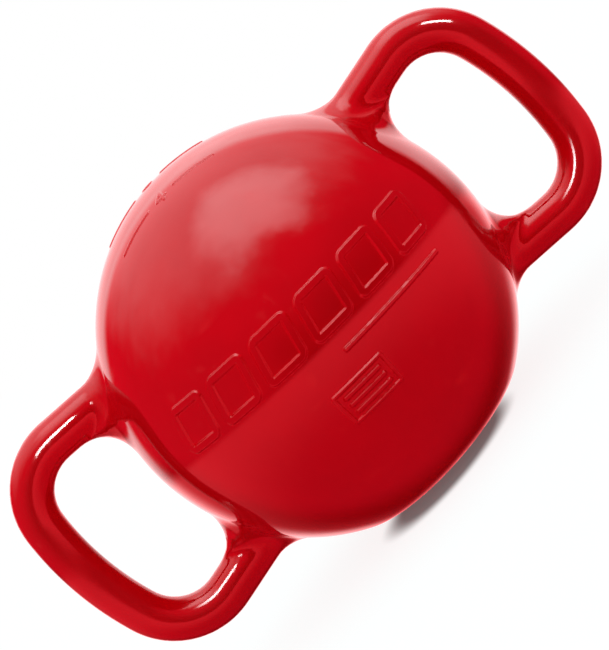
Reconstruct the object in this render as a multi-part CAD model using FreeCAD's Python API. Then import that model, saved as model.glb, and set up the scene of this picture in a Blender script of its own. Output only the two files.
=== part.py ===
import FreeCAD, Part
import math
import os
from FreeCAD import Vector

# A water-filled medicine ball with two loop handles, in millimetres.
# +Z is up and +X runs along the handles. The origin is the centre of the
# flat base, on the surface that the ball stands on. The fill plug is at the
# back, on +Y.

# The ball
ball_radius = 152.4
base_radius = 60.0
base_edge_radius = 12.0
wall = 3.0

# The handles: a bowed grip bar, two corners and two legs that toe in
grip_reach = 238.5
grip_bow_radius = 227.0
grip_half_angle = 11.8
corner_radius = 47.2
leg_toe_in = 7.6
leg_length = 72.0
tube_radius = 16.2
tube_wall = 3.0
root_fillet = 22.0

# The fill point: a thick boss with a round recess, a seat bush and a plug
boss_radius = 30.0
boss_depth = 14.0
recess_radius = 18.5
recess_depth = 6.0
seat_bore_radius = 9.3
seat_sleeve_radius = 13.0
seat_flange_radius = 21.0
seat_flange_thickness = 4.0
plug_clearance = 0.3
plug_shank_length = 22.0
plug_nose_length = 5.0
plug_nose_radius = 7.0
plug_dish_radius = 13.0
plug_dish_depth = 3.0
plug_bar_width = 5.0

# The water: its surface stands this high above the floor, about 2.8 litres
water_level = 77.0
water_gap = 0.3

# Worked out from the driving dimensions
centre_height = math.sqrt(ball_radius ** 2 - base_radius ** 2)
centre = Vector(0, 0, centre_height)
back = Vector(0, 1, 0)
recess_floor = ball_radius - recess_depth
boss_inner_end = ball_radius - boss_depth
plug_shank_radius = seat_bore_radius - plug_clearance
plug_head_radius = recess_radius - plug_clearance

# Half widths that reach past the whole object, for cutting blocks
far = 400.0


def point_at(origin, radius, degrees):
    """A point in the XZ plane, at an angle from +X towards +Z."""
    turn = math.radians(degrees)
    return origin + Vector(radius * math.cos(turn), 0, radius * math.sin(turn))


def flat_ball(radius, floor_drop, edge_radius):
    """A ball cut flat at the bottom, with a rounded edge round the flat."""
    edge_height = edge_radius - floor_drop
    edge_reach = math.sqrt((radius - edge_radius) ** 2 - edge_height ** 2)
    edge_centre = centre + Vector(edge_reach, 0, edge_height)
    edge_angle = math.degrees(math.atan2(edge_height, edge_reach))
    top = point_at(centre, radius, 90)
    side = point_at(centre, radius, (90 + edge_angle) / 2)
    edge_start = point_at(centre, radius, edge_angle)
    edge_middle = point_at(edge_centre, edge_radius, (edge_angle - 90) / 2)
    edge_end = point_at(edge_centre, edge_radius, -90)
    bottom = centre - Vector(0, 0, floor_drop)
    outline = Part.Wire([
        Part.Arc(top, side, edge_start).toShape(),
        Part.Arc(edge_start, edge_middle, edge_end).toShape(),
        Part.makeLine(edge_end, bottom),
        Part.makeLine(bottom, top),
    ])
    profile = Part.Face(outline)
    profile.rotate(centre, Vector(0, 0, 1), -90)
    return profile.revolve(centre, Vector(0, 0, 1), 360)


def round_section(radius, middle, direction):
    """A round face across a tube's path."""
    return Part.Face(Part.Wire(Part.makeCircle(radius, middle, direction)))


def handle_tube(radius):
    """The right handle's solid tube, from inside the ball and back into it."""
    bow_centre = centre + Vector(grip_reach - grip_bow_radius, 0, 0)
    grip_start = point_at(bow_centre, grip_bow_radius, -grip_half_angle)
    grip_direction = point_at(Vector(0, 0, 0), 1, 90 - grip_half_angle)
    section = round_section(radius, grip_start, grip_direction)
    pieces = [section.revolve(bow_centre, Vector(0, -1, 0), 2 * grip_half_angle)]
    corner_turn = 90 + leg_toe_in - grip_half_angle
    for side in (1, -1):
        grip_end = point_at(bow_centre, grip_bow_radius, side * grip_half_angle)
        corner_centre = point_at(grip_end, -corner_radius, side * grip_half_angle)
        direction = point_at(Vector(0, 0, 0), 1, side * (90 + grip_half_angle))
        section = round_section(radius, grip_end, direction)
        pieces.append(section.revolve(corner_centre, Vector(0, -side, 0), corner_turn))
        leg_start = point_at(corner_centre, corner_radius, side * (90 + leg_toe_in))
        leg_direction = point_at(Vector(0, 0, 0), 1, side * (180 + leg_toe_in))
        pieces.append(Part.makeCylinder(radius, leg_length, leg_start, leg_direction))
    return pieces[0].multiFuse(pieces[1:]).removeSplitter()


def both_handles(radius):
    """The right handle's tube and its mirror image on the left."""
    right = handle_tube(radius)
    left = right.mirror(Vector(0, 0, 0), Vector(1, 0, 0))
    return [right, left]


def is_root_edge(edge, shape):
    """True where a handle's leg meets the round of the ball."""
    faces = shape.ancestorsOfType(edge, Part.Face)
    kinds = {type(face.Surface).__name__ for face in faces}
    return kinds == {"Sphere", "Cylinder"}


def outer_form():
    """The whole outside of the moulding, with a flared root at each leg."""
    ball = flat_ball(ball_radius, centre_height, base_edge_radius)
    joined = ball.multiFuse(both_handles(tube_radius)).removeSplitter().Solids[0]
    roots = [edge for edge in joined.Edges if is_root_edge(edge, joined)]
    return joined.makeFillet(root_fillet, roots)


def inner_space(gap):
    """The hollow of the ball and of both handles, drawn in by a gap."""
    radius = ball_radius - wall - gap
    ball = flat_ball(radius, centre_height - wall - gap, base_edge_radius - wall - gap)
    return ball.multiFuse(both_handles(tube_radius - tube_wall - gap))


def back_cylinder(radius, start, end):
    """A cylinder on the fill point's axis, between two distances from centre."""
    return Part.makeCylinder(radius, end - start, centre + back * start, back)


def moulding():
    """The hollow moulding, with the boss, recess and hole of the fill point."""
    outside = flat_ball(ball_radius, centre_height, base_edge_radius)
    boss = back_cylinder(boss_radius, boss_inner_end, ball_radius).common(outside)
    hollow = outer_form().cut(inner_space(0)).fuse(boss)
    recess = back_cylinder(recess_radius, recess_floor, ball_radius)
    hole = back_cylinder(seat_sleeve_radius, boss_inner_end, recess_floor)
    return hollow.cut(recess.fuse(hole)).removeSplitter()


def valve_seat():
    """The bush bonded into the boss: a sleeve with a flange on the inside."""
    flange_start = boss_inner_end - seat_flange_thickness
    flange = back_cylinder(seat_flange_radius, flange_start, boss_inner_end)
    sleeve = back_cylinder(seat_sleeve_radius, boss_inner_end, recess_floor)
    bore = back_cylinder(seat_bore_radius, flange_start, recess_floor)
    return flange.fuse(sleeve).removeSplitter().cut(bore)


def fill_plug():
    """The push-in plug: a domed head with a pull bar, and a tapered shank."""
    head_start = recess_floor + plug_clearance
    shank_start = head_start - plug_shank_length
    cylinder = back_cylinder(plug_head_radius, head_start, ball_radius)
    head = cylinder.common(Part.makeSphere(ball_radius - plug_clearance, centre))
    dish = back_cylinder(plug_dish_radius, ball_radius - plug_dish_depth, ball_radius)
    bar = Part.makeBox(plug_bar_width, ball_radius, 2 * plug_dish_radius)
    bar.translate(centre - Vector(plug_bar_width / 2, 0, plug_dish_radius))
    shank = back_cylinder(plug_shank_radius, shank_start, head_start)
    nose_tip = centre + back * (shank_start - plug_nose_length)
    nose = Part.makeCone(plug_nose_radius, plug_shank_radius, plug_nose_length, nose_tip, back)
    return head.cut(dish.cut(bar)).multiFuse([shank, nose]).removeSplitter()


def water_charge():
    """The water that lies in the bottom of the ball and of the handles."""
    block = Part.makeBox(2 * far, 2 * far, water_level, Vector(-far, -far, 0))
    return inner_space(water_gap).common(block).removeSplitter()


def write(name, shape):
    """Writes one piece, after checking that it is one sound solid."""
    solids = shape.Solids
    if len(solids) != 1 or not solids[0].isValid():
        raise RuntimeError(f"{name} has {len(solids)} solids or is not valid")
    solids[0].exportStep(f"parts/{name}.step")
    print(f"{name:14s} {solids[0].Volume / 1000:9.1f} cm3")


os.makedirs("parts", exist_ok=True)
body = moulding()
ball_space = flat_ball(ball_radius, centre_height, base_edge_radius)
right_half = Part.makeBox(far, 2 * far, 2 * far, Vector(0, -far, -far / 2))
left_half = Part.makeBox(far, 2 * far, 2 * far, Vector(-far, -far, -far / 2))
outside_ball = body.cut(ball_space)

write("ball_shell", body.common(ball_space))
write("handle_right", outside_ball.common(right_half))
write("handle_left", outside_ball.common(left_half))
write("valve_seat", valve_seat())
write("fill_plug", fill_plug())
write("water_charge", water_charge())
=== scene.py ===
# %% [markdown]
# # A water-filled medicine ball with two loop handles
# The real ball is one hollow moulding in glossy red vinyl. A charge of vinyl powder is turned in a hot
# mould until it has coated the inside evenly, so the ball and both handles come out as a single skin, with
# soft flared roots where the handles grow out of the ball and no seam between them. At the back is a boss
# with a bonded seat, and a plug is pushed into it once the ball has been filled with water.
#
# This lesson builds that skin from distance functions, embosses it, cuts the fill point into it, turns the
# plug and its seat on a lathe, and gives each piece its finish. The engineering model comes first, because
# every piece has to sit exactly where it does.

import math

import bmesh
import bpy
import numpy as np
from mathutils import Matrix, Vector


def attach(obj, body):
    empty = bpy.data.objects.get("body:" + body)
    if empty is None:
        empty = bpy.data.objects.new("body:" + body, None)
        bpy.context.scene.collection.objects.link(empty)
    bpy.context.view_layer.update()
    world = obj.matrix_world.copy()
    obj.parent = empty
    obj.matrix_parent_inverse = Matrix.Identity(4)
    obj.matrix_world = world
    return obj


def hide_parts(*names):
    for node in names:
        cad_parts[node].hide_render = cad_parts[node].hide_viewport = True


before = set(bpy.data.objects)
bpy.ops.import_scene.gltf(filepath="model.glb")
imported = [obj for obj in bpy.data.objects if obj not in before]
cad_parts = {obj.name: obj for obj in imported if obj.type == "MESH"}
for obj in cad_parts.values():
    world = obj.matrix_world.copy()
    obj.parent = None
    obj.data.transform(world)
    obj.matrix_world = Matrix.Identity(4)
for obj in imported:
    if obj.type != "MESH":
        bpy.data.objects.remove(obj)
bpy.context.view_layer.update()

# %% [markdown]
# ## Sizes
# Everything below is in metres. The ball's centre stands a little less than its radius above the floor,
# because the ball is cut flat underneath. The handles lie in one upright plane through the centre. Each
# handle is a round tube on a path of arcs: a grip bar bowed gently outwards, two corners, and two straight
# legs that toe in towards the ball.

# %% Sizes of the moulding
BALL_RADIUS = 0.1524
BASE_RADIUS = 0.060
BASE_EDGE = 0.012
WALL = 0.003
CENTRE = np.array([0.0, 0.0, math.sqrt(BALL_RADIUS ** 2 - BASE_RADIUS ** 2)])

GRIP_REACH = 0.2385
GRIP_BOW_RADIUS = 0.227
GRIP_HALF_ANGLE = math.radians(11.8)
CORNER_RADIUS = 0.0472
LEG_TOE_IN = math.radians(7.6)
LEG_LENGTH = 0.072
TUBE_RADIUS = 0.0162
ROOT_FLARE = 0.0155
ROOT_FLARE_INSIDE = 0.033

# %% [markdown]
# ## The form as a distance function
# A distance function says how far a point is outside a shape, and is negative inside. It makes soft moulded
# joints easy: two shapes are joined with a round of any radius by one short formula, where a bevel would
# need clean edges to work on. The ball is a sphere met by the floor plane with a rounded edge. A handle is
# the distance to its path less the tube's radius. The left handle is the right one mirrored, so the
# functions work on the absolute value of x.


# %% Distance to the ball and to the handles
def round_meet(a, b, radius):
    """The part inside both a and b, with a rounded outer edge between them."""
    over = np.hypot(np.maximum(a + radius, 0), np.maximum(b + radius, 0))
    return np.minimum(-radius, np.maximum(a, b)) + over


def round_join(a, b, radius):
    """The part inside a or b, with a hollow round between them."""
    under = np.hypot(np.maximum(radius - a, 0), np.maximum(radius - b, 0))
    return np.maximum(radius, np.minimum(a, b)) - under


def turned(angle):
    """A unit direction in the handles' plane, from +X towards +Z."""
    return np.array([math.cos(angle), math.sin(angle)])


BOW_CENTRE = np.array([GRIP_REACH - GRIP_BOW_RADIUS, 0.0])
CORNER_CENTRE = BOW_CENTRE + (GRIP_BOW_RADIUS - CORNER_RADIUS) * turned(GRIP_HALF_ANGLE)
LEG_ANGLE = math.pi / 2 + LEG_TOE_IN
LEG_START = CORNER_CENTRE + CORNER_RADIUS * turned(LEG_ANGLE)
LEG_WAY = turned(LEG_ANGLE + math.pi / 2)


def arc_distance(q, middle, radius, first, last):
    """Distance in the plane to an arc, and far away beside its two ends."""
    away = q - middle
    angle = np.arctan2(away[:, 1], away[:, 0])
    gap = np.abs(np.hypot(away[:, 0], away[:, 1]) - radius)
    return np.where((angle >= first) & (angle <= last), gap, 1.0)


def segment_distance(q, start, end):
    """Distance in the plane to a straight stroke from start to end."""
    start, end = np.array(start), np.array(end)
    way = end - start
    share = np.clip((q - start) @ way / (way @ way), 0, 1)
    away = q - start - share[:, None] * way
    return np.hypot(away[:, 0], away[:, 1])


def handle_distance(p):
    """Distance to the surface of the two handle tubes."""
    q = np.abs(np.stack([p[:, 0], p[:, 2] - CENTRE[2]], 1))
    grip = arc_distance(q, BOW_CENTRE, GRIP_BOW_RADIUS, -1.0, GRIP_HALF_ANGLE)
    corner = arc_distance(q, CORNER_CENTRE, CORNER_RADIUS, GRIP_HALF_ANGLE, LEG_ANGLE)
    leg = segment_distance(q, LEG_START, LEG_START + LEG_LENGTH * LEG_WAY)
    return np.hypot(np.minimum(np.minimum(grip, corner), leg), p[:, 1]) - TUBE_RADIUS


def root_flare(p):
    """The radius of the flare at a handle's root: larger on the side of the hand gap."""
    q = np.abs(np.stack([p[:, 0], p[:, 2] - CENTRE[2]], 1))
    inside = np.clip((LEG_START - q) @ turned(LEG_ANGLE) / TUBE_RADIUS, 0, 1)
    return ROOT_FLARE + (ROOT_FLARE_INSIDE - ROOT_FLARE) * inside ** 2


def form_distance(p):
    """Distance to the outside of the whole moulding."""
    sphere = np.linalg.norm(p - CENTRE, axis=1) - BALL_RADIUS
    ball = round_meet(sphere, -p[:, 2], BASE_EDGE)
    return round_join(ball, handle_distance(p), root_flare(p))


# %% [markdown]
# ## From distance to skin
# Blender's voxel remesh wraps a rough assembly of a ball and two bent tubes in one even skin of quads. The
# skin is then relaxed and pulled onto the distance function's zero level, which puts every point on the
# true form. Gloss shows the smallest ripple, so this last step matters more than the remesh.


# %% Pull a mesh onto the form
def slope(distance, p, step=1e-4):
    """The direction in which the distance grows fastest, one unit vector for each point."""
    grown = []
    for axis in range(3):
        shift = np.zeros(3)
        shift[axis] = step
        grown.append(distance(p + shift) - distance(p - shift))
    way = np.stack(grown, 1)
    return way / np.maximum(np.linalg.norm(way, axis=1), 1e-12)[:, None]


def settle(distance, p, rounds=6):
    """Moves points along the slope until they lie on the surface."""
    for _ in range(rounds):
        p = p - slope(distance, p) * distance(p)[:, None]
    return p


def read_points(mesh):
    """A mesh's points as an array."""
    flat = np.zeros(len(mesh.vertices) * 3)
    mesh.vertices.foreach_get("co", flat)
    return flat.reshape(-1, 3)


def write_points(mesh, p):
    """Puts an array back as a mesh's points."""
    mesh.vertices.foreach_set("co", np.ascontiguousarray(p, np.float32).ravel())
    mesh.update()


def relax(mesh, distance, rounds=4):
    """Evens out the spacing of the points, keeping them on the surface."""
    p = read_points(mesh)
    ends = np.zeros(len(mesh.edges) * 2, int)
    mesh.edges.foreach_get("vertices", ends)
    ends = ends.reshape(-1, 2)
    count = np.bincount(ends.ravel(), minlength=len(p))[:, None]
    for _ in range(rounds):
        total = np.zeros_like(p)
        np.add.at(total, ends[:, 0], p[ends[:, 1]])
        np.add.at(total, ends[:, 1], p[ends[:, 0]])
        p = settle(distance, (p + total / count) / 2, 2)
    write_points(mesh, settle(distance, p))


# %% A rough ball and handles, wrapped in one skin
def new_piece(name, mesh):
    """An object for a mesh, linked to the scene."""
    piece = bpy.data.objects.new(name, mesh)
    bpy.context.scene.collection.objects.link(piece)
    return piece


def rough_handle(bm, side, radius, around=24):
    """Adds one handle's tube to bm as closed rings along its path."""
    angles = np.linspace(0, GRIP_HALF_ANGLE, 8)
    half = [BOW_CENTRE + GRIP_BOW_RADIUS * turned(a) for a in angles]
    angles = np.linspace(GRIP_HALF_ANGLE, LEG_ANGLE, 16)[1:]
    half += [CORNER_CENTRE + CORNER_RADIUS * turned(a) for a in angles]
    half += [LEG_START + LEG_LENGTH * share * LEG_WAY for share in (0.5, 1.0)]
    path = [q * np.array([1, -1]) for q in half[:0:-1]] + half
    rings = []
    for i, q in enumerate(path):
        along = path[min(i + 1, len(path) - 1)] - path[max(i - 1, 0)]
        across = np.array([along[1], -along[0]]) / np.linalg.norm(along)
        ring = []
        for turn in np.linspace(0, 2 * math.pi, around, endpoint=False):
            flat = q + across * radius * math.cos(turn)
            ring.append(bm.verts.new((side * flat[0], radius * math.sin(turn), CENTRE[2] + flat[1])))
        rings.append(ring)
    for low, high in zip(rings, rings[1:]):
        for i in range(around):
            bm.faces.new((low[i], low[i - 1], high[i - 1], high[i]))
    bm.faces.new(rings[0])
    bm.faces.new(rings[-1][::-1])


def wrapped_skin(name, distance, inset, voxel):
    """One even skin round the ball and handles, pulled onto a distance function."""
    bm = bmesh.new()
    place = Matrix.Translation(Vector(CENTRE))
    bmesh.ops.create_icosphere(bm, subdivisions=5, radius=BALL_RADIUS - inset, matrix=place)
    for side in (1, -1):
        rough_handle(bm, side, TUBE_RADIUS - inset)
    bmesh.ops.recalc_face_normals(bm, faces=bm.faces)
    rough = bpy.data.meshes.new(name)
    bm.to_mesh(rough)
    bm.free()
    piece = new_piece(name, rough)
    remesh = piece.modifiers.new("wrap", "REMESH")
    remesh.mode = "VOXEL"
    remesh.voxel_size = voxel
    graph = bpy.context.evaluated_depsgraph_get()
    piece.data = bpy.data.meshes.new_from_object(piece.evaluated_get(graph))
    piece.modifiers.clear()
    relax(piece.data, distance)
    return piece


moulding = wrapped_skin("moulded_body", form_distance, 0.0, 0.0046)
print("outer skin", len(moulding.data.polygons), "faces")

# %% [markdown]
# ## Embossing
# The mould has shapes cut into it, which stand proud on the ball as flat-topped bands with soft shoulders.
# Across the front runs a row of six slanted links, a plain rule below it and a frame with three bars: a
# plain pattern that stands where a maker would put a name. On the crown are three level marks, each a pair
# of dashes with a number between them. They are read with the ball lying on its front and the plug
# uppermost, and the number is the whole ball's mass in kilograms when it is filled to that line.
#
# A stroke is the distance to its centreline less half its width. Each pattern is laid out flat and wrapped
# onto the sphere by longitude and latitude, so that nothing stretches towards the sides.

# %% Wrap a flat layout onto the ball
ROW_TILT = math.radians(4.2)
ACROSS = np.array([math.cos(ROW_TILT), 0, -math.sin(ROW_TILT)])
UPWARD = np.array([math.sin(ROW_TILT), 0, math.cos(ROW_TILT)])
FRONT = np.array([0.0, -1.0, 0.0])
TOP = np.array([0.0, 0.0, 1.0])
RIGHT = np.array([1.0, 0.0, 0.0])
BACK = np.array([0.0, 1.0, 0.0])


def unwrap(p, right, up, out):
    """Flat coordinates on the ball's surface, in metres from the point that faces out."""
    d = p - CENTRE
    d = d / np.linalg.norm(d, axis=1)[:, None]
    along = np.arctan2(d @ right, d @ out)
    height = np.arcsin(np.clip(d @ up, -1, 1))
    return np.stack([along, height], 1) * BALL_RADIUS


def outline_distance(q, middle, half_size, corner, slant=0.0):
    """Distance to the outline of a rectangle with round corners, leaning over by slant."""
    x = q[:, 0] - middle[0] - slant * (q[:, 1] - middle[1])
    y = q[:, 1] - middle[1]
    dx = np.abs(x) - half_size[0] + corner
    dy = np.abs(y) - half_size[1] + corner
    outside = np.hypot(np.maximum(dx, 0), np.maximum(dy, 0))
    return np.abs(np.minimum(np.maximum(dx, dy), 0) + outside - corner)


# %% The patterns on the front
LINK_COUNT = 6
LINK_PITCH = 0.0425
LINK_FIRST = -0.1115
LINK_LEVEL = 0.0192
LINK_HALF = (0.0148, 0.0147)
LINK_CORNER = 0.0036
LINK_SLANT = 0.25
LINK_BAND = 0.0054
RULE_ENDS = ((0.006, -0.0125), (0.104, -0.0125))
RULE_BAND = 0.0030
PANEL_MIDDLE = (-0.002, -0.043)
PANEL_HALF = (0.0222, 0.0122)
PANEL_BAND = 0.0024
BAR_COUNT = 3
BAR_PITCH = 0.0064
BAR_HALF_LENGTH = 0.0155
BAR_BAND = 0.0032


def front_strokes(p):
    """How far each point is outside the nearest stroke on the front."""
    q = unwrap(p, ACROSS, UPWARD, FRONT)
    gaps = []
    for i in range(LINK_COUNT):
        middle = (LINK_FIRST + i * LINK_PITCH, LINK_LEVEL)
        gaps.append(outline_distance(q, middle, LINK_HALF, LINK_CORNER, LINK_SLANT) - LINK_BAND / 2)
    gaps.append(segment_distance(q, *RULE_ENDS) - RULE_BAND / 2)
    gaps.append(outline_distance(q, PANEL_MIDDLE, PANEL_HALF, 0.001) - PANEL_BAND / 2)
    for i in range(BAR_COUNT):
        y = PANEL_MIDDLE[1] + (i - (BAR_COUNT - 1) / 2) * BAR_PITCH
        start = (PANEL_MIDDLE[0] - BAR_HALF_LENGTH, y)
        end = (PANEL_MIDDLE[0] + BAR_HALF_LENGTH, y)
        gaps.append(segment_distance(q, start, end) - BAR_BAND / 2)
    return np.min(gaps, axis=0)


# %% The level marks on the crown
FIRST_LEVEL = -0.0555
LEVEL_STEP = 0.058
DASH_INNER = 0.0145
DASH_OUTER = 0.0500
MARK_BAND = 0.0030
DIGIT_WIDE = 0.0042
DIGIT_TALL = 0.0068


def digit_distance(q, digit, middle):
    """Distance to the strokes of one plain digit, drawn round its middle."""
    x, y = middle
    w, h = DIGIT_WIDE, DIGIT_TALL
    if digit == "1":
        lines = [((x, y - h), (x, y + h)), ((x, y + h), (x - w * 0.6, y + h * 0.6))]
        return np.min([segment_distance(q, *line) for line in lines], axis=0)
    if digit == "4":
        lines = [((x + w * 0.4, y - h), (x + w * 0.4, y + h)), ((x + w * 0.4, y + h), (x - w, y - h * 0.35))]
        lines.append(((x - w, y - h * 0.35), (x + w, y - h * 0.35)))
        return np.min([segment_distance(q, *line) for line in lines], axis=0)
    if digit == "8":
        loop = h / 2
        rings = [outline_distance(q, (x, y + side * loop), (w * 0.9, loop), w * 0.85) for side in (1, -1)]
        return np.min(rings, axis=0)
    hook = h - w
    lines = [((x + w * 0.8, y + hook * 0.6), (x - w, y - h)), ((x - w, y - h), (x + w, y - h))]
    strokes = [segment_distance(q, *line) for line in lines]
    strokes.append(arc_distance(q, np.array([x, y + hook]), w, -0.55, math.pi * 0.95))
    return np.min(strokes, axis=0)


def crown_strokes(p):
    """How far each point is outside the nearest stroke of the level marks."""
    q = unwrap(p, RIGHT, BACK, TOP)
    gaps = []
    for i, label in enumerate(("4", "8", "12")):
        level = BALL_RADIUS * math.asin((FIRST_LEVEL + i * LEVEL_STEP) / BALL_RADIUS)
        for side in (1, -1):
            gaps.append(segment_distance(q, (side * DASH_INNER, level), (side * DASH_OUTER, level)))
        for k, digit in enumerate(label):
            x = (k - (len(label) - 1) / 2) * DIGIT_WIDE * 2.8
            gaps.append(digit_distance(q, digit, (x, level)))
    return np.min(gaps, axis=0) - MARK_BAND / 2


# %% [markdown]
# ## Finer faces where the pattern is
# A band a few millimetres wide needs faces well under a millimetre, and the rest of the ball doesn't. So
# only the faces near a stroke are divided, in two passes, and pulled onto the form again. Then each point
# is lifted along the surface's slope by the height of the pattern above it.

# %% Divide the faces near the strokes and lift the pattern
EMBOSS_HEIGHT = 0.0017
MARK_HEIGHT = 0.0008
SHOULDER = 0.0017


def stroke_gaps(p):
    """Distances outside the strokes on the front and on the crown, with handles out of it."""
    on_ball = np.abs(np.linalg.norm(p - CENTRE, axis=1) - BALL_RADIUS - 0.0005) < 0.0025
    return np.where(on_ball, front_strokes(p), 1.0), np.where(on_ball, crown_strokes(p), 1.0)


def divide_near(mesh, reach, cuts):
    """Divides the faces that lie within reach of a stroke."""
    bm = bmesh.new()
    bm.from_mesh(mesh)
    middles = np.array([face.calc_center_median() for face in bm.faces])
    sizes = np.array([face.calc_perimeter() for face in bm.faces]) / 4
    near = np.minimum(*stroke_gaps(middles)) < reach + sizes * 0.6
    edges = {edge for face, chosen in zip(list(bm.faces), near) if chosen for edge in face.edges}
    bmesh.ops.subdivide_edges(bm, edges=list(edges), cuts=cuts, use_grid_fill=True)
    bm.to_mesh(mesh)
    bm.free()
    write_points(mesh, settle(form_distance, read_points(mesh)))


def shoulder(gap, height):
    """The height of a flat-topped band with soft shoulders."""
    share = np.clip(-gap / SHOULDER, 0, 1)
    return height * share * share * (3 - 2 * share)


def pattern_lift(p):
    """How high the pattern stands at each point."""
    front_gap, crown_gap = stroke_gaps(p)
    return shoulder(front_gap - SHOULDER / 2, EMBOSS_HEIGHT) + shoulder(crown_gap - SHOULDER / 2, MARK_HEIGHT)


divide_near(moulding.data, 0.0022, 2)
divide_near(moulding.data, 0.0009, 2)
skin_points = read_points(moulding.data)
lift = pattern_lift(skin_points)
write_points(moulding.data, skin_points + slope(form_distance, skin_points) * lift[:, None])
print("embossed skin", len(moulding.data.polygons), "faces")
print("highest lift", round(float(lift.max()) * 1000, 2), "mm")

# %% [markdown]
# ## The hollow and the fill point
# The wall is 3 mm thick, so the inside is the same form drawn in by 3 mm. At the back the wall thickens
# into a boss that the seat is bonded into, with a round recess so that the plug's head sits flush. Both are
# cut with solids of revolution: one for the recess, whose profile flares a little at the mouth to leave a
# rounded rim, and one for the hollow, which has the boss taken out of it first.

# %% Sizes of the fill point
RECESS_RADIUS = 0.0185
RECESS_FLOOR = 0.1464
HOLE_RADIUS = 0.0130
BOSS_RADIUS = 0.030
BOSS_END = 0.1384
RIM_ROUND = 0.0012


def lathe(name, profile, around=96, smooth_angle=32.0):
    """Turns a closed profile of (radius, distance from the ball's centre) about the fill point's axis."""
    bm = bmesh.new()
    rings = []
    for radius, reach in profile:
        turns = np.linspace(0, 2 * math.pi, around, endpoint=False) if radius > 1e-6 else [0.0]
        y = CENTRE[1] + reach
        ring = [(radius * math.cos(t), y, CENTRE[2] + radius * math.sin(t)) for t in turns]
        rings.append([bm.verts.new(place) for place in ring])
    for low, high in zip(rings, rings[1:] + rings[:1]):
        for i in range(around):
            corners = {low[i % len(low)]: 0, low[i - 1 if len(low) > 1 else 0]: 0}
            corners.update({high[i - 1 if len(high) > 1 else 0]: 0, high[i % len(high)]: 0})
            if len(corners) > 2:
                bm.faces.new(list(corners))
    bmesh.ops.recalc_face_normals(bm, faces=bm.faces)
    mesh = bpy.data.meshes.new(name)
    bm.to_mesh(mesh)
    bm.free()
    mesh.polygons.foreach_set("use_smooth", [True] * len(mesh.polygons))
    mesh.set_sharp_from_angle(angle=math.radians(smooth_angle))
    return new_piece(name, mesh)


def rounded(points, radius, steps=5):
    """A profile with its corners rounded: each point is (r, y, round) or (r, y)."""
    made = []
    for i, point in enumerate(points):
        here = np.array(point[:2], float)
        size = point[2] if len(point) > 2 else radius
        if size == 0:
            made.append(tuple(here))
            continue
        before = np.array(points[i - 1][:2], float) - here
        after = np.array(points[(i + 1) % len(points)][:2], float) - here
        before, after = before / np.linalg.norm(before), after / np.linalg.norm(after)
        half = math.acos(np.clip(before @ after, -1, 1)) / 2
        inward = (before + after) / np.linalg.norm(before + after)
        middle = here + inward * size / math.sin(half)
        start, end = here + before * size / math.tan(half), here + after * size / math.tan(half)
        for share in np.linspace(0, 1, steps):
            way = start + (end - start) * share - middle
            made.append(tuple(middle + way / np.linalg.norm(way) * size))
    return made


def cut(piece, tool):
    """Takes one solid out of another and removes the tool."""
    boolean = piece.modifiers.new("cut", "BOOLEAN")
    boolean.operation = "DIFFERENCE"
    boolean.solver = "MANIFOLD"
    boolean.object = tool
    graph = bpy.context.evaluated_depsgraph_get()
    piece.data = bpy.data.meshes.new_from_object(piece.evaluated_get(graph))
    piece.modifiers.clear()
    bpy.data.objects.remove(tool)


# %% Cut the hollow, the hole and the recess
hollow = wrapped_skin("hollow", lambda p: form_distance(p) + WALL, WALL, 0.0075)
boss = lathe("boss", [(0, BOSS_END), (BOSS_RADIUS, BOSS_END), (BOSS_RADIUS, 0.170), (0, 0.170)])
cut(hollow, boss)
cut(moulding, hollow)
hole = lathe("hole", [(0, 0.120), (HOLE_RADIUS, 0.120), (HOLE_RADIUS, 0.150), (0, 0.150)])
cut(moulding, hole)
rim_level = math.sqrt(BALL_RADIUS ** 2 - RECESS_RADIUS ** 2)
flare = [(RECESS_RADIUS + RIM_ROUND * (1 - math.cos(a)), rim_level - RIM_ROUND * (1 - math.sin(a)))
         for a in np.linspace(0, math.radians(75), 6)]
mouth = [(0, RECESS_FLOOR), (RECESS_RADIUS - 0.0006, RECESS_FLOOR), (RECESS_RADIUS, RECESS_FLOOR + 0.0006)]
recess = lathe("recess", mouth + flare + [(flare[-1][0] + 0.0012, 0.160), (0, 0.160)])
cut(moulding, recess)
moulding.data.polygons.foreach_set("use_smooth", [True] * len(moulding.data.polygons))
moulding.data.set_sharp_from_angle(angle=math.radians(40))

# %% [markdown]
# ## Normals from the form
# Gloss mirrors the room off the normals. The outside takes them from the distance function, so that the
# mirrored room follows the form and not the faces. The inside and the recess keep their faces' normals.


# %% Set the normals of the outside
def embossed_distance(p):
    """Distance to the outside of the moulding with its pattern."""
    return form_distance(p) - pattern_lift(p)


points = read_points(moulding.data)
from_axis = np.hypot(points[:, 0], points[:, 2] - CENTRE[2])
by_recess = (points[:, 1] > 0.14) & (from_axis < RECESS_RADIUS + 0.004)
outside = (np.abs(embossed_distance(points)) < 0.0004) & ~by_recess
normals = np.where(outside[:, None], slope(embossed_distance, points, 2e-5), 0.0)
moulding.data.normals_split_custom_set_from_vertices(normals)
print("finished moulding", len(moulding.data.polygons), "faces")

# %% [markdown]
# ## The seat and the plug
# Both are turned parts, so both are a profile spun about the fill point's axis. The seat is a bush with a
# flange on the inside of the boss. The plug has a domed head that follows the ball, a shallow dish with a
# bar across it for a finger and thumb to pull, and a shank with two sealing beads and a tapered nose.

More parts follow.
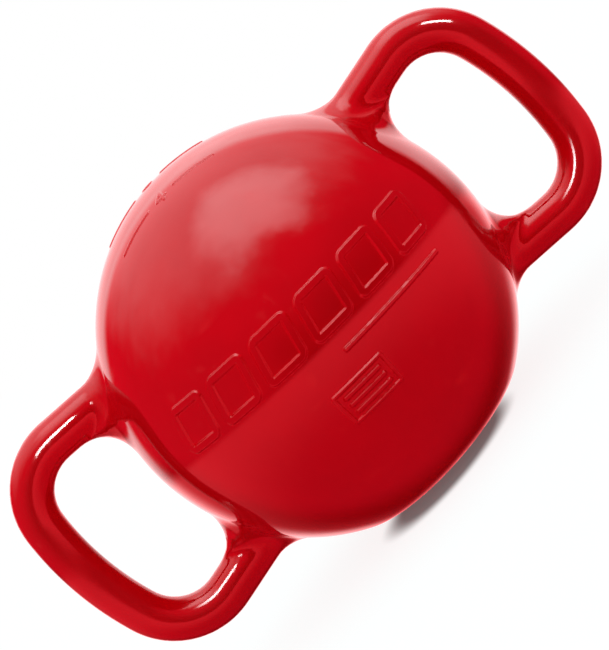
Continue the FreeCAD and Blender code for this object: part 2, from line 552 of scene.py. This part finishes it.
# %% Turn the seat
SEAT_BORE = 0.0093
SEAT_FLANGE = 0.0210
FLANGE_START = 0.1344
seat_profile = [(SEAT_BORE, FLANGE_START, 0.0006), (SEAT_FLANGE, FLANGE_START, 0.0008)]
seat_profile += [(SEAT_FLANGE, BOSS_END, 0.0003), (HOLE_RADIUS, BOSS_END, 0)]
seat_profile += [(HOLE_RADIUS, RECESS_FLOOR, 0.0003), (SEAT_BORE, RECESS_FLOOR, 0.0008)]
seat = lathe("valve_seat_bush", rounded(seat_profile, 0))
print("seat", len(seat.data.polygons), "faces")

# %% Turn the plug
GAP = 0.0003
HEAD_RADIUS = RECESS_RADIUS - GAP
HEAD_START = RECESS_FLOOR + GAP
SHANK_RADIUS = SEAT_BORE - GAP
SHANK_LENGTH = 0.022
NOSE_LENGTH = 0.005
NOSE_RADIUS = 0.007
DISH_RADIUS = 0.013
DISH_DEPTH = 0.003
BEAD_RISE = 0.0002
BEAD_HALF = 0.0009


def dome(radius):
    """How far from the ball's centre the plug's domed face is, at a radius from its axis."""
    return math.sqrt((BALL_RADIUS - GAP) ** 2 - radius ** 2)


def bead(middle):
    """A low rounded bead on the shank, from the nose end towards the head."""
    turns = np.linspace(0, math.pi, 7)
    return [(SHANK_RADIUS + BEAD_RISE * math.sin(t), middle - BEAD_HALF * math.cos(t)) for t in turns]


shank_end = HEAD_START - SHANK_LENGTH
nose_end = shank_end - NOSE_LENGTH
dish_floor = BALL_RADIUS - DISH_DEPTH
nose_profile = rounded([(0, nose_end, 0), (NOSE_RADIUS, nose_end, 0.0012),
                        (SHANK_RADIUS, shank_end, 0.0015), (SHANK_RADIUS, HEAD_START, 0)], 0)
plug_profile = nose_profile[:-1]
for share in (0.25, 0.6):
    plug_profile += bead(shank_end + SHANK_LENGTH * share)
head_profile = rounded([(SHANK_RADIUS, shank_end, 0), (SHANK_RADIUS, HEAD_START, 0.0006),
                        (HEAD_RADIUS, HEAD_START, 0.0008), (HEAD_RADIUS, dome(HEAD_RADIUS), 0.0012),
                        (0.0155, dome(0.0155), 0), (DISH_RADIUS, dome(DISH_RADIUS), 0.0008),
                        (DISH_RADIUS - 0.0006, dish_floor, 0.0012), (0, dish_floor, 0)], 0)
plug_profile += head_profile[1:]
plug = lathe("fill_plug_moulded", plug_profile)
print("plug", len(plug.data.polygons), "faces")

# %% The bar across the plug's dish
BAR_WIDTH = 0.005
BAR_SINK = 0.0004


def pull_bar(name):
    """A bar with rounded top edges across the dish, its top following the dome."""
    bm = bmesh.new()
    half_length = DISH_RADIUS - 0.0001
    edge = [(-0.5, 0.0), (-0.5, 0.62), (-0.44, 0.84), (-0.3, 0.97), (0, 1.0)]
    section = edge + [(-x, y) for x, y in edge[-2::-1]]
    rings = []
    for z in np.linspace(-half_length, half_length, 25):
        foot = CENTRE[1] + dish_floor - BAR_SINK
        rise = dome(abs(z)) - dish_floor + BAR_SINK
        wide = BAR_WIDTH * min(1.0, (half_length - abs(z)) / 0.0012 + 0.75)
        rings.append([bm.verts.new((x * wide, foot + rise * y, CENTRE[2] + z)) for x, y in section])
    for low, high in zip(rings, rings[1:]):
        for i in range(len(section)):
            bm.faces.new((low[i], low[i - 1], high[i - 1], high[i]))
    bm.faces.new(rings[0])
    bm.faces.new(rings[-1][::-1])
    bmesh.ops.recalc_face_normals(bm, faces=bm.faces)
    mesh = bpy.data.meshes.new(name)
    bm.to_mesh(mesh)
    bm.free()
    mesh.polygons.foreach_set("use_smooth", [True] * len(mesh.polygons))
    mesh.set_sharp_from_angle(angle=math.radians(35))
    return new_piece(name, mesh)


bar = pull_bar("fill_plug_bar")
print("bar", len(bar.data.polygons), "faces")

# %% [markdown]
# ## Finishes
# Moulded vinyl is an even, deep colour under a clean gloss, and what makes it look real is small: a slow
# cloudiness in the colour where the powder melted thicker or thinner, a faint skin texture left by the
# mould, hairline scuffs that dull the gloss, and a rubbed band where the ball stands. Each of these is used
# in more than one finish, so each is a node group, built once. A group gives out only values that change
# over the surface; every finish has its own Principled shader and its own plain numbers.


# %% Helpers for node trees
def add_node(tree, kind, place, **values):
    """A node of a kind at a place, with its properties and input values set."""
    node = tree.nodes.new("ShaderNode" + kind)
    node.location = place
    for name, value in values.items():
        if hasattr(node, name):
            setattr(node, name, value)
        else:
            node.inputs[name.replace("_", " ")].default_value = value
    return node


def math_node(tree, operation, first, second, place, clamp=False):
    """A Math node whose two inputs are sockets or plain numbers."""
    node = add_node(tree, "Math", place, operation=operation, use_clamp=clamp)
    for socket, value in zip(node.inputs, (first, second)):
        if isinstance(value, bpy.types.NodeSocket):
            tree.links.new(value, socket)
        else:
            socket.default_value = value
    return node.outputs[0]


def map_range(tree, value, low, high, to_low, to_high, place):
    """A smooth Map Range node from one span of values to another."""
    node = add_node(tree, "MapRange", place, interpolation_type="SMOOTHSTEP")
    tree.links.new(value, node.inputs["Value"])
    for name, number in (("From Min", low), ("From Max", high), ("To Min", to_low), ("To Max", to_high)):
        if isinstance(number, bpy.types.NodeSocket):
            tree.links.new(number, node.inputs[name])
        else:
            node.inputs[name].default_value = number
    return node.outputs["Result"]


def new_group(name, inputs, outputs):
    """An empty node group with named sockets. Inputs are (name, kind, default)."""
    group = bpy.data.node_groups.new(name, "ShaderNodeTree")
    for label, kind, default in inputs:
        socket = group.interface.new_socket(label, in_out="INPUT", socket_type="NodeSocket" + kind)
        socket.default_value = default
    for label, kind in outputs:
        group.interface.new_socket(label, in_out="OUTPUT", socket_type="NodeSocket" + kind)
    start = group.nodes.new("NodeGroupInput")
    start.location = (-900, 0)
    end = group.nodes.new("NodeGroupOutput")
    end.location = (700, 0)
    return group, start.outputs, end.inputs


# %% Group: slow cloudiness in the colour
cloud, given, made = new_group(
    "melt_cloud",
    [("Thin Colour", "Color", (1, 1, 1, 1)), ("Thick Colour", "Color", (1, 1, 1, 1)),
     ("Patch Scale", "Float", 14.0)],
    [("Colour", "Color"), ("Cloud", "Float")],
)
where = add_node(cloud, "TexCoord", (-900, 300))
broad = add_node(cloud, "TexNoise", (-500, 200), Detail=3.0, Roughness=0.55)
cloud.links.new(where.outputs["Object"], broad.inputs["Vector"])
cloud.links.new(given["Patch Scale"], broad.inputs["Scale"])
soft = map_range(cloud, broad.outputs["Fac"], 0.30, 0.70, 0.0, 1.0, (-200, 200))
blend = add_node(cloud, "Mix", (200, 100), data_type="RGBA")
cloud.links.new(soft, blend.inputs["Factor"])
cloud.links.new(given["Thin Colour"], blend.inputs["A"])
cloud.links.new(given["Thick Colour"], blend.inputs["B"])
cloud.links.new(blend.outputs["Result"], made["Colour"])
cloud.links.new(soft, made["Cloud"])

# %% Group: the skin that the mould leaves
skin, given, made = new_group(
    "mould_skin",
    [("Ripple Scale", "Float", 130.0), ("Grain Scale", "Float", 900.0), ("Grain Share", "Float", 0.3)],
    [("Height", "Float")],
)
where = add_node(skin, "TexCoord", (-900, 300))
ripple = add_node(skin, "TexNoise", (-500, 250), Detail=1.0)
grain = add_node(skin, "TexNoise", (-500, -50), Detail=2.0)
for node, scale in ((ripple, "Ripple Scale"), (grain, "Grain Scale")):
    skin.links.new(where.outputs["Object"], node.inputs["Vector"])
    skin.links.new(given[scale], node.inputs["Scale"])
fine = math_node(skin, "MULTIPLY", grain.outputs["Fac"], given["Grain Share"], (-200, -50))
skin.links.new(math_node(skin, "ADD", ripple.outputs["Fac"], fine, (200, 100)), made["Height"])

# %% Group: hairline scuffs
scuffs, given, made = new_group(
    "hairline_scuffs",
    [("Density", "Float", 60.0), ("Amount", "Float", 0.5)],
    [("Scuff", "Float")],
)
where = add_node(scuffs, "TexCoord", (-1100, 300))
SCUFF_WAYS = ((0.6, (1.0, 0.06, 1.0)), (2.2, (0.05, 1.0, 0.7)), (4.1, (0.8, 0.9, 0.05)))
lines = []
for i, (turn, stretch) in enumerate(SCUFF_WAYS):
    swing = add_node(scuffs, "Mapping", (-850, 300 - 260 * i))
    swing.inputs["Rotation"].default_value = (turn, turn * 0.7, turn * 1.3)
    swing.inputs["Scale"].default_value = stretch
    streak = add_node(scuffs, "TexNoise", (-620, 300 - 260 * i), Detail=2.0, Roughness=0.6, Distortion=0.4)
    scuffs.links.new(where.outputs["Object"], swing.inputs["Vector"])
    scuffs.links.new(swing.outputs["Vector"], streak.inputs["Vector"])
    scuffs.links.new(given["Density"], streak.inputs["Scale"])
    lines.append(map_range(scuffs, streak.outputs["Fac"], 0.66, 0.74, 0.0, 1.0, (-380, 300 - 260 * i)))
together = math_node(scuffs, "ADD", lines[0], lines[1], (-120, 200))
together = math_node(scuffs, "ADD", together, lines[2], (60, 100))
together = math_node(scuffs, "MULTIPLY", together, given["Amount"], (300, 0), clamp=True)
scuffs.links.new(together, made["Scuff"])

# %% Group: a band rubbed dull near a height
rub, given, made = new_group(
    "rubbed_band",
    [("Height", "Float", 0.0), ("Reach", "Float", 0.01), ("Amount", "Float", 1.0),
     ("Patch Scale", "Float", 90.0)],
    [("Rub", "Float")],
)
where = add_node(rub, "TexCoord", (-900, 300))
axes = add_node(rub, "SeparateXYZ", (-700, 300))
rub.links.new(where.outputs["Object"], axes.inputs[0])
away = math_node(rub, "SUBTRACT", axes.outputs["Z"], given["Height"], (-500, 300))
away = math_node(rub, "ABSOLUTE", away, 0.0, (-320, 300))
band = map_range(rub, away, 0.0, given["Reach"], 1.0, 0.0, (-120, 300))
patches = add_node(rub, "TexNoise", (-500, -50), Detail=4.0, Roughness=0.65)
rub.links.new(where.outputs["Object"], patches.inputs["Vector"])
rub.links.new(given["Patch Scale"], patches.inputs["Scale"])
broken = map_range(rub, patches.outputs["Fac"], 0.42, 0.62, 0.0, 1.0, (-200, -50))
worn = math_node(rub, "MULTIPLY", band, broken, (100, 200))
rub.links.new(math_node(rub, "MULTIPLY", worn, given["Amount"], (350, 100), clamp=True), made["Rub"])
print("node groups", [group.name for group in bpy.data.node_groups])

# %% [markdown]
# ## The red vinyl
# The moulding, the plug and the seat are the same vinyl with different gloss, so one function makes all
# three finishes. The cloud group gives the colour, the scuffs and the rubbed band raise the roughness, and
# the skin group feeds a very weak Bump. On the moulding, the handles are a little duller, where hands hold
# them, and a faint witness line runs where the two halves of the mould met, in the handles' plane.


# %% Make a vinyl finish
def place_group(tree, group, place, **values):
    """A node group placed in a material, with its input values set."""
    node = tree.nodes.new("ShaderNodeGroup")
    node.node_tree = group
    node.location = place
    for name, value in values.items():
        node.inputs[name.replace("_", " ")].default_value = value
    return node


HELD_FROM = 0.170
HELD_FULL = 0.200
HELD_DULLNESS = 0.05
WITNESS_HALF_WIDTH = 0.0014


def vinyl(name, thin, thick, gloss, scuff_amount, rub_height, rub_reach, rub_amount, with_handles=False):
    """Moulded vinyl: gloss is the roughness of a clean patch. The moulding's own finish has handles."""
    finish = bpy.data.materials.new(name)
    finish.use_nodes = True
    tree = finish.node_tree
    shader = tree.nodes["Principled BSDF"]
    shader.inputs["IOR"].default_value = 1.5
    colour = place_group(tree, cloud, (-700, 300), Thin_Colour=thin, Thick_Colour=thick, Patch_Scale=14.0)
    lines = place_group(tree, scuffs, (-900, 50), Density=55.0, Amount=scuff_amount)
    band = place_group(tree, rub, (-900, -150), Height=rub_height, Reach=rub_reach, Amount=rub_amount)
    relief = place_group(tree, skin, (-900, -400), Ripple_Scale=120.0, Grain_Scale=1100.0, Grain_Share=0.25)
    tree.links.new(colour.outputs["Colour"], shader.inputs["Base Color"])
    dull = math_node(tree, "MAXIMUM", lines.outputs["Scuff"], band.outputs["Rub"], (-650, 0))
    cloudy = map_range(tree, colour.outputs["Cloud"], 0.0, 1.0, gloss * 0.85, gloss * 1.2, (-450, 150))
    rough = math_node(tree, "ADD", cloudy, math_node(tree, "MULTIPLY", dull, 0.26, (-450, -50)), (-220, 50))
    height = relief.outputs["Height"]
    if with_handles:
        where = add_node(tree, "TexCoord", (-1100, -650))
        from_middle = add_node(tree, "VectorMath", (-900, -850), operation="DISTANCE")
        from_middle.inputs[1].default_value = Vector(CENTRE)
        tree.links.new(where.outputs["Object"], from_middle.inputs[0])
        far_out = from_middle.outputs["Value"]
        held = map_range(tree, far_out, HELD_FROM, HELD_FULL, 0.0, HELD_DULLNESS, (-700, -850))
        rough = math_node(tree, "ADD", rough, held, (-60, 100))
        axes = add_node(tree, "SeparateXYZ", (-900, -650))
        tree.links.new(where.outputs["Object"], axes.inputs[0])
        off = math_node(tree, "ABSOLUTE", axes.outputs["Y"], 0.0, (-700, -650))
        line = map_range(tree, off, 0.0002, WITNESS_HALF_WIDTH, 0.3, 0.0, (-500, -600))
        height = math_node(tree, "ADD", height, line, (-300, -450))
    tree.links.new(rough, shader.inputs["Roughness"])
    bump = add_node(tree, "Bump", (-150, -300), Strength=0.03, Distance=0.0004)
    tree.links.new(height, bump.inputs["Height"])
    tree.links.new(bump.outputs["Normal"], shader.inputs["Normal"])
    return finish


RED_THIN = (0.60, 0.0007, 0.0045, 1)
RED_THICK = (0.52, 0.0005, 0.0035, 1)
body_vinyl = vinyl("glossy_red_vinyl", RED_THIN, RED_THICK, 0.055, 0.35, 0.001, 0.012, 0.9, with_handles=True)
plug_vinyl = vinyl("plug_red_vinyl", (0.50, 0.0012, 0.0075, 1), (0.42, 0.001, 0.006, 1), 0.16, 0.6,
                   float(CENTRE[2]), 0.012, 0.5)
seat_vinyl = vinyl("seat_red_vinyl", (0.34, 0.001, 0.006, 1), (0.28, 0.001, 0.005, 1), 0.28, 0.4,
                   float(CENTRE[2]), 0.010, 0.3)
for piece, finish in ((moulding, body_vinyl), (plug, plug_vinyl), (bar, plug_vinyl), (seat, seat_vinyl)):
    piece.data.materials.clear()
    piece.data.materials.append(finish)

# %% [markdown]
# ## The water
# The charge of water lies level in the bottom of the ball and of the handles, sealed in by the plug. Its
# CAD solid has the right shape, so it stays, and gets a clear material: full transmission at water's index
# of refraction, with a very faint cloud of colour and a surface that is not quite still.

# %% Clear water
water_finish = bpy.data.materials.new("clear_water")
water_finish.use_nodes = True
tree = water_finish.node_tree
shader = tree.nodes["Principled BSDF"]
shader.inputs["IOR"].default_value = 1.333
shader.inputs["Transmission Weight"].default_value = 1.0
shader.inputs["Roughness"].default_value = 0.0
tint = place_group(tree, cloud, (-600, 200), Patch_Scale=9.0,
                   Thin_Colour=(0.93, 0.98, 1.0, 1), Thick_Colour=(0.86, 0.95, 0.97, 1))
still = place_group(tree, skin, (-600, -200), Ripple_Scale=30.0, Grain_Scale=120.0, Grain_Share=0.1)
bump = add_node(tree, "Bump", (-250, -200), Strength=0.08, Distance=0.001)
tree.links.new(tint.outputs["Colour"], shader.inputs["Base Color"])
tree.links.new(still.outputs["Height"], bump.inputs["Height"])
tree.links.new(bump.outputs["Normal"], shader.inputs["Normal"])
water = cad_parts["water_charge"]
water.data.materials.clear()
water.data.materials.append(water_finish)

# %% [markdown]
# ## Each piece on its body
# The moulding stands for the three CAD nodes that it is made of, and rides on the ball with the seat and
# the water. The plug and its bar ride on the plug's own body, so they slide out together.

# %% Ride and replace
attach(moulding, "ball")
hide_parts("ball_shell", "handle_left", "handle_right")
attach(seat, "ball")
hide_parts("valve_seat")
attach(plug, "plug")
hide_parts("fill_plug")
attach(bar, "plug")

# %% [markdown]
# ## Camera
# The camera stands in front of the ball and a little above it, and is rolled so that the handles run from
# the lower left to the upper right of the picture.

# %% Camera
CAMERA_REACH = 1.70
CAMERA_HEIGHT = math.radians(6.3)
CAMERA_ROLL = math.radians(49.0)
VIEW_TALL = 0.4692
AIM_RIGHT = 0.0019
AIM_DOWN = 0.0005

back_way = Vector((0, -math.cos(CAMERA_HEIGHT), math.sin(CAMERA_HEIGHT)))
level_right = Vector((1, 0, 0))
level_up = back_way.cross(level_right)
right_way = level_right * math.cos(CAMERA_ROLL) - level_up * math.sin(CAMERA_ROLL)
up_way = level_right * math.sin(CAMERA_ROLL) + level_up * math.cos(CAMERA_ROLL)
camera_data = bpy.data.cameras.new("camera")
camera_data.sensor_width = 36.0
camera_data.lens = 36.0 * CAMERA_REACH / VIEW_TALL
camera_data.clip_end = 50.0
camera = bpy.data.objects.new("camera", camera_data)
bpy.context.scene.collection.objects.link(camera)
stand = Vector(CENTRE) + back_way * CAMERA_REACH - right_way * AIM_RIGHT + up_way * AIM_DOWN
camera.matrix_world = Matrix((
    (right_way.x, up_way.x, back_way.x, stand.x),
    (right_way.y, up_way.y, back_way.y, stand.y),
    (right_way.z, up_way.z, back_way.z, stand.z),
    (0, 0, 0, 1),
))
bpy.context.scene.camera = camera

# %% [markdown]
# ## Studio
# A pale floor in a white room. The room's light is drawn in the world, and a Light Path node gives each
# kind of ray its own room: the camera sees plain white, the soft shading comes from an even dome that is
# brighter overhead, and the gloss mirrors the studio. The floor glows a little, and a painted contact shadow
# cuts its glow where the ball meets it; it takes a faint real shadow besides. The mirrored studio has two
# cloud-shaped soft lights overhead, a white wall behind the ball that whitens its rim, and a dark band in
# front, above the near edge of the table. Over it all hangs a dim red veil, which is the ball's own colour
# thrown back by the white room.

# %% Floor
FLOOR_HALF = 8.0
# The floor's painted contact shadow: a disc of dimmed glow round this middle, near the ball's base.
PAINTED_SHADE_MIDDLE = (-0.010, -0.030, 0)
PAINTED_SHADE_FULL = 0.048
PAINTED_SHADE_END = 0.074
floor_mesh = bpy.data.meshes.new("floor")
floor_mesh.from_pydata([(-FLOOR_HALF, -FLOOR_HALF, 0), (FLOOR_HALF, -FLOOR_HALF, 0),
                        (FLOOR_HALF, FLOOR_HALF, 0), (-FLOOR_HALF, FLOOR_HALF, 0)], [], [(0, 1, 2, 3)])
floor = new_piece("floor", floor_mesh)

# %% The floor's finish
floor_finish = bpy.data.materials.new("pale_floor")
floor_finish.use_nodes = True
tree = floor_finish.node_tree
tree.nodes.clear()
shade = add_node(tree, "BsdfDiffuse", (0, 200))
shade.inputs["Color"].default_value = (0.16, 0.21, 0.21, 1)
lit = add_node(tree, "Emission", (0, 0))
where = add_node(tree, "TexCoord", (-800, 0))
from_painted_shade = add_node(tree, "VectorMath", (-600, 0), operation="DISTANCE")
from_painted_shade.inputs[1].default_value = PAINTED_SHADE_MIDDLE
tree.links.new(where.outputs["Object"], from_painted_shade.inputs[0])
# Painted contact shadow: the floor's glow drops from 0.86 to 0.10 close to the ball's base.
glow_less_painted_shade = map_range(tree, from_painted_shade.outputs["Value"], PAINTED_SHADE_FULL, PAINTED_SHADE_END, 0.10, 0.86, (-300, 0))
tree.links.new(glow_less_painted_shade, lit.inputs["Strength"])
both = add_node(tree, "AddShader", (200, 100))
bounce = add_node(tree, "BsdfDiffuse", (0, -200))
bounce.inputs["Color"].default_value = (0.50, 0.50, 0.50, 1)
rays = add_node(tree, "LightPath", (0, 600))
choose = add_node(tree, "MixShader", (400, 0))
end = add_node(tree, "OutputMaterial", (600, 0))
tree.links.new(shade.outputs[0], both.inputs[0])
tree.links.new(lit.outputs[0], both.inputs[1])
tree.links.new(rays.outputs["Is Camera Ray"], choose.inputs["Fac"])
tree.links.new(bounce.outputs[0], choose.inputs[1])
tree.links.new(both.outputs[0], choose.inputs[2])
tree.links.new(choose.outputs[0], end.inputs["Surface"])
floor_mesh.materials.append(floor_finish)
floor.visible_glossy = False

# %% Directions in the mirrored room
world = bpy.data.worlds.new("studio")
bpy.context.scene.world = world
world.use_nodes = True
tree = world.node_tree
tree.nodes.clear()
level_way = add_node(tree, "TexCoord", (-2200, 0)).outputs["Generated"]
tilt = add_node(tree, "VectorRotate", (-2000, 0), rotation_type="Y_AXIS", Angle=-ROW_TILT)
tree.links.new(level_way, tilt.inputs["Vector"])
drift = add_node(tree, "TexNoise", (-2000, -300), Scale=2.2, Detail=3.0, Roughness=0.55)
tree.links.new(level_way, drift.inputs["Vector"])
centred = add_node(tree, "VectorMath", (-1800, -300), operation="SUBTRACT")
tree.links.new(drift.outputs["Color"], centred.inputs[0])
centred.inputs[1].default_value = (0.5, 0.5, 0.5)
spread = add_node(tree, "VectorMath", (-1650, -300), operation="SCALE")
tree.links.new(centred.outputs["Vector"], spread.inputs[0])
spread.inputs["Scale"].default_value = 0.55
bent = add_node(tree, "VectorMath", (-1500, -200), operation="ADD")
tree.links.new(tilt.outputs["Vector"], bent.inputs[0])
tree.links.new(spread.outputs["Vector"], bent.inputs[1])
cloud_way = add_node(tree, "VectorMath", (-1350, -200), operation="NORMALIZE")
tree.links.new(bent.outputs["Vector"], cloud_way.inputs[0])
axes = add_node(tree, "SeparateXYZ", (-1600, 300))
tree.links.new(tilt.outputs["Vector"], axes.inputs[0])


# %% Helpers for the mirrored room
def glow(direction, inner, outer, strength, place):
    """A soft patch of light in a direction, full inside one angle and gone outside another, in degrees."""
    facing = add_node(tree, "VectorMath", place, operation="DOT_PRODUCT")
    tree.links.new(cloud_way.outputs["Vector"], facing.inputs[0])
    facing.inputs[1].default_value = Vector(direction).normalized()
    near, far = math.cos(math.radians(inner)), math.cos(math.radians(outer))
    return map_range(tree, facing.outputs["Value"], far, near, 0.0, strength, (place[0] + 200, place[1]))


def added(parts, place):
    """The sum of several values."""
    total = parts[0]
    for i, part in enumerate(parts[1:]):
        total = math_node(tree, "ADD", total, part, (place[0] + 180 * i, place[1]))
    return total


def across(axis, low, high, to_low, to_high, place):
    """A value that changes along one axis of the mirrored room."""
    return map_range(tree, axes.outputs[axis], low, high, to_low, to_high, place)


def times(first, second, place):
    """One value times another."""
    return math_node(tree, "MULTIPLY", first, second, place)


# %% White light: two soft lights, the wall and the table
main_light = glow((0.30, -0.16, 0.93), 8, 32, 2.7, (-1100, 0))
top_light = glow((0.05, 0.20, 0.97), 12, 64, 1.5, (-1100, -200))

# The wall behind the ball, above the floor's level. It comes further forward on the right.
under = across("Z", -0.20, 0.05, 1.0, 0.0, (-1100, 500))
over = math_node(tree, "SUBTRACT", 1.0, under, (-900, 450))
side_edge = across("X", -1.0, 1.0, 0.80, 0.62, (-1300, 700))
side_full = math_node(tree, "ADD", side_edge, 0.10, (-1100, 700))
wall_high = times(across("Y", side_edge, side_full, 0.0, 1.35, (-900, 700)), over, (-700, 700))

# The wall's foot, which has a lower edge, and a gap in the middle where the ball stands in its way.
wall_low = times(across("Y", 0.70, 1.00, 0.0, 1.2, (-900, 550)), under, (-700, 550))
wall_low = times(wall_low, across("Z", -0.56, -0.40, 0.0, 1.0, (-700, 850)), (-500, 800))
lean = times(axes.outputs["Y"], 0.11, (-1300, 950))
drop = times(math_node(tree, "ADD", axes.outputs["Z"], lean, (-1150, 950)), 0.5, (-1000, 950))
aside = math_node(tree, "ABSOLUTE", axes.outputs["X"], 0.0, (-1150, 1100))
aside = math_node(tree, "ADD", aside, drop, (-1000, 1100))
wall_low = times(wall_low, map_range(tree, aside, -0.10, 0.10, 0.05, 1.0, (-850, 1000)), (-350, 850))
wall = math_node(tree, "ADD", wall_high, wall_low, (-550, 600))

# The near edge of the table, which fades downwards.
table = across("Z", -0.16, -0.11, 0.17, 0.0, (-900, 400))
near_table = times(table, across("Z", -0.75, -0.15, 0.0, 1.0, (-900, 250)), (-700, 350))
white_light = added([main_light, top_light, wall, near_table], (-600, 100))

# %% Red light: the veil, less the dark band
band = times(across("Z", 0.0, 0.6, 1.0, 0.0, (-900, -450)),
             across("Z", -0.17, -0.10, 0.0, 1.0, (-900, -600)), (-700, -500))
band = times(band, across("X", -0.95, -0.2, 0.2, 1.0, (-900, -750)), (-550, -500))
band = times(band, across("Y", -0.4, 0.5, 0.92, 0.25, (-900, -1150)), (-450, -650))
band = times(band, across("X", 0.8, 1.0, 1.0, 0.4, (-900, -1300)), (-350, -650))
veil = math_node(tree, "SUBTRACT", 1.0, band, (-400, -500))
veil = times(veil, across("Z", -1.0, -0.2, 0.95, 1.3, (-900, -900)), (-250, -500))
veil = times(veil, across("Y", -0.3, 0.9, 2.9, 1.4, (-700, -1000)), (-100, -550))

# The veil thins out beneath the ball, and before the wall.
beneath = times(across("Y", 0.1, 0.75, 0.0, 1.0, (-700, -1200)), under, (-500, -1200))
veil = times(veil, map_range(tree, beneath, 0.0, 1.0, 1.0, 0.2, (-300, -1200)), (50, -600))
veil = times(veil, map_range(tree, wall_high, 0.0, 1.3, 1.0, 0.6, (-300, -1350)), (100, -600))
veil = math_node(tree, "ADD", veil, times(near_table, 7.0, (-100, -850)), (150, -650))

# %% The mirrored room from both
white_room = add_node(tree, "Background", (0, 200))
tree.links.new(white_light, white_room.inputs["Strength"])
red_room = add_node(tree, "Background", (0, 50))
red_room.inputs["Color"].default_value = (1.0, 0.010, 0.030, 1)
tree.links.new(veil, red_room.inputs["Strength"])
mirrored = add_node(tree, "AddShader", (200, 150))
tree.links.new(white_room.outputs[0], mirrored.inputs[0])
tree.links.new(red_room.outputs[0], mirrored.inputs[1])

# %% The dome, and a room for each kind of ray
dome_room = add_node(tree, "Background", (0, -150))
tree.links.new(across("Z", -1.0, 1.0, 0.78, 1.11, (-200, -200)), dome_room.inputs["Strength"])
seen = add_node(tree, "Background", (200, -300), Strength=1.0)
seen.inputs["Color"].default_value = (1, 1, 1, 1)
rays = add_node(tree, "LightPath", (100, 500))
shaded = add_node(tree, "MixShader", (450, 0))
tree.links.new(rays.outputs["Is Diffuse Ray"], shaded.inputs["Fac"])
tree.links.new(mirrored.outputs[0], shaded.inputs[1])
tree.links.new(dome_room.outputs[0], shaded.inputs[2])
choose = add_node(tree, "MixShader", (650, 0))
tree.links.new(rays.outputs["Is Camera Ray"], choose.inputs["Fac"])
tree.links.new(shaded.outputs[0], choose.inputs[1])
tree.links.new(seen.outputs[0], choose.inputs[2])
end = add_node(tree, "OutputWorld", (850, 0))
tree.links.new(choose.outputs[0], end.inputs[0])
# Sampling the world as a lamp would light the soft shading with the mirrored room, so it is off.
world.cycles.sampling_method = "NONE"
bpy.context.scene.view_settings.view_transform = "Standard"

# %% [markdown]
# ## Small lamps by the handles
# A thin bright streak on a round bar is what tells the eye that it is glossy. Each streak comes from a
# small lamp close in front of a handle. A lamp is placed by running its light backwards: from the camera to
# the spot where the streak should lie, and on along the mirrored ray. It shines in a narrow cone, so
# neither the ball nor the grip bar mirrors it.

# %% Place the lamps
LAMP_REACH = 0.060
LAMP_GLOW = 40.0
LAMP_SPREAD = math.radians(50)


def streak_lamp(name, spot, along, size):
    """A lamp mirrored at a spot (x, height above the centre). Along is the way of its long side."""
    p = np.array([[spot[0], -0.1, CENTRE[2] + spot[1]]])
    for _ in range(60):
        p[:, 1] += handle_distance(p)
    normal = Vector(slope(handle_distance, p)[0])
    here = Vector(p[0])
    to_camera = (stand - here).normalized()
    away = (2 * normal.dot(to_camera) * normal - to_camera).normalized()
    long_side = Vector((along[0], 0, along[1]))
    long_side = (long_side - long_side.dot(away) * away).normalized()
    short_side = away.cross(long_side)
    place = here + away * LAMP_REACH
    data = bpy.data.lights.new(name, "AREA")
    data.shape = "RECTANGLE"
    data.size, data.size_y = size
    data.spread = LAMP_SPREAD
    narrow = math.tan(LAMP_SPREAD / 2)
    data.energy = LAMP_GLOW * math.pi * size[0] * size[1] * (narrow - LAMP_SPREAD / 2) / narrow
    lamp = bpy.data.objects.new(name, data)
    lamp.matrix_world = Matrix((
        (long_side.x, short_side.x, away.x, place.x),
        (long_side.y, short_side.y, away.y, place.y),
        (long_side.z, short_side.z, away.z, place.z),
        (0, 0, 0, 1),
    ))
    lamp.visible_diffuse = False
    lamp.visible_camera = False
    bpy.context.scene.collection.objects.link(lamp)


streak_lamp("lamp_left_top", (-0.181, 0.0877), (-1.0, -0.13), (0.050, 0.014))
streak_lamp("lamp_left_low", (-0.188, -0.0760), (-1.0, 0.13), (0.036, 0.013))
streak_lamp("lamp_right_top", (0.2240, 0.0750), (0.725, -0.688), (0.038, 0.012))
streak_lamp("lamp_right_low", (0.2110, -0.0700), (0.818, 0.575), (0.012, 0.012))
